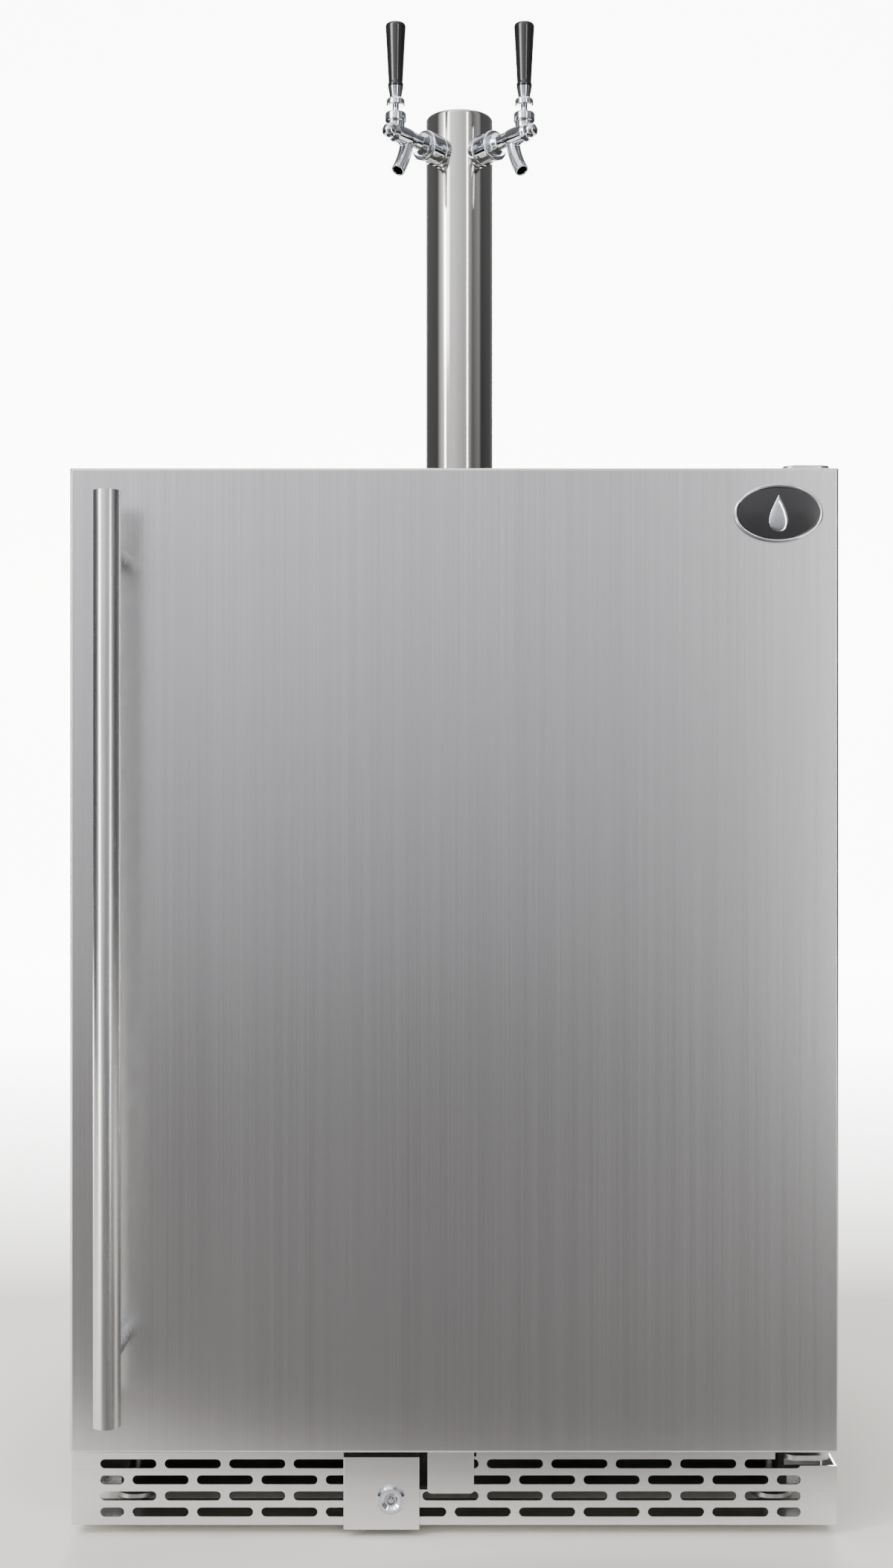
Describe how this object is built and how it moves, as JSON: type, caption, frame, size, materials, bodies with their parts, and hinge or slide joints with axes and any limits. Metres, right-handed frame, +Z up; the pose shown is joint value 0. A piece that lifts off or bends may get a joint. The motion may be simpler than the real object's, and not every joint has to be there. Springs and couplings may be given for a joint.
{
  "type": "kegerator",
  "caption": "Built-in beer dispenser: insulated steel cabinet with a hinged door, bar handle, slotted kick grille, bolt lock and a column tower with two taps.",
  "frame": {"origin": "on the floor under the middle of the whole object", "axes": "+Z up, door and taps face -Y, hinge side is +X"},
  "size_m": [0.597, 0.647, 1.2705],
  "materials": {
    "cabinet_paint": "black textured powder coat",
    "zinc_steel": "zinc plated",
    "black_plastic": "moulded black",
    "liner_plastic": "white moulded",
    "foam": "rigid insulating foam",
    "brushed_steel": "fine vertical brush",
    "satin_steel": "satin turned bar",
    "chrome": "bright chrome plate",
    "lock_steel": "satin",
    "seal_rubber": "soft extruded",
    "badge_enamel": "black enamel",
    "polished_steel": "polished stainless tube",
    "handle_black": "black moulded",
    "valve_brass": "turned",
    "mat_rubber": "ribbed",
    "aluminium": "mill",
    "knob_plastic": "moulded",
    "compressor_paint": "gloss black enamel",
    "copper": "copper tube"
  },
  "bodies": {
    "cabinet": {"back_panel": "cabinet_paint", "base_pan": "cabinet_paint", "cabinet_foam": "foam", "cabinet_liner": "liner_plastic", "cabinet_screws": "zinc_steel", "compressor": "compressor_paint", "compressor_mounts": "seal_rubber", "condenser": "aluminium", "condenser_fan_frame": "black_plastic", "coupling_nuts": "chrome", "evaporator": "aluminium", "evaporator_fan_frame": "black_plastic", "faucet_bodies": "chrome", "flange_screws": "zinc_steel", "hinge_pins": "zinc_steel", "keg_mat": "mat_rubber", "kick_grille": "brushed_steel", "levelling_feet": "zinc_steel", "line_sleeve": "liner_plastic", "lock_barrel": "chrome", "lock_plate": "brushed_steel", "lower_hinge": "zinc_steel", "power_gland": "black_plastic", "refrigerant_pipes": "copper", "shank_nuts": "chrome", "side_panel_left": "cabinet_paint", "side_panel_right": "cabinet_paint", "tap_shanks": "chrome", "thermostat_box": "liner_plastic", "top_panel": "cabinet_paint", "tower_cap": "polished_steel", "tower_column": "polished_steel", "tower_flange": "polished_steel", "tower_gasket": "seal_rubber", "tower_insulation": "foam", "upper_hinge": "zinc_steel"},
    "door": {"door_skin": "brushed_steel", "door_foam": "foam", "door_liner": "liner_plastic", "door_gasket": "seal_rubber", "hinge_bushes": "black_plastic", "handle_bar": "satin_steel", "handle_bar_ends": "satin_steel", "handle_posts": "satin_steel", "door_screws": "zinc_steel", "badge_rim": "chrome", "badge_face": "badge_enamel", "door_strike": "brushed_steel"},
    "lock_plug": {"lock_plug": "lock_steel", "lock_cam": "lock_steel"},
    "lock_bolt": {"lock_bolt": "lock_steel"},
    "condenser_fan": {"condenser_fan": "black_plastic"},
    "evaporator_fan": {"evaporator_fan": "black_plastic"},
    "thermostat_knob": {"thermostat_knob": "knob_plastic"},
    "tap_left": {"tap_lever_left": "chrome", "tap_handle_left": "handle_black"},
    "valve_left": {"tap_plunger_left": "valve_brass"},
    "tap_right": {"tap_lever_right": "chrome", "tap_handle_right": "handle_black"},
    "valve_right": {"tap_plunger_right": "valve_brass"}
  },
  "joints": [
    {"name": "door_hinge", "type": "hinge", "parent": "cabinet", "child": "door", "pos_m": [0.28, -0.236, 0.45], "axis": [0, 0, 1], "range_deg": [0, 110]},
    {"name": "lock_turn", "type": "hinge", "parent": "cabinet", "child": "lock_plug", "pos_m": [-0.0493, -0.258, 0.03], "axis": [0, 1, 0], "range_deg": [0, 90]},
    {"name": "bolt_slide", "type": "slide", "parent": "cabinet", "child": "lock_bolt", "axis": [1, 0, 0], "range_m": [0, 0.01343]},
    {"name": "condenser_fan_spin", "type": "hinge", "parent": "cabinet", "child": "condenser_fan", "pos_m": [0.105, 0.172, 0.115], "axis": [0, 1, 0], "continuous": true},
    {"name": "evaporator_fan_spin", "type": "hinge", "parent": "cabinet", "child": "evaporator_fan", "pos_m": [0.08, 0.262, 0.64], "axis": [0, 1, 0], "continuous": true},
    {"name": "thermostat_turn", "type": "hinge", "parent": "cabinet", "child": "thermostat_knob", "pos_m": [0.24, -0.01, 0.69], "axis": [1, 0, 0], "range_deg": [0, 270]},
    {"name": "tap_pull_left", "type": "hinge", "parent": "cabinet", "child": "tap_left", "pos_m": [-0.05187, -0.03407, 1.183], "axis": [0.788, -0.6157, 0], "range_deg": [0, 25]},
    {"name": "valve_slide_left", "type": "slide", "parent": "cabinet", "child": "valve_left", "axis": [0.6157, 0.788, 0], "range_m": [0, 0.0047]},
    {"name": "tap_pull_right", "type": "hinge", "parent": "cabinet", "child": "tap_right", "pos_m": [0.06387, -0.03407, 1.183], "axis": [0.788, 0.6157, 0], "range_deg": [0, 25]},
    {"name": "valve_slide_right", "type": "slide", "parent": "cabinet", "child": "valve_right", "axis": [-0.6157, 0.788, 0], "range_m": [0, 0.0047]}
  ],
  "couplings": [
    {"joint": "bolt_slide", "follows": "lock_turn", "m_per_rad": 0.00855},
    {"joint": "valve_slide_left", "follows": "tap_pull_left", "m_per_rad": 0.0107},
    {"joint": "valve_slide_right", "follows": "tap_pull_right", "m_per_rad": 0.0107}
  ]
}
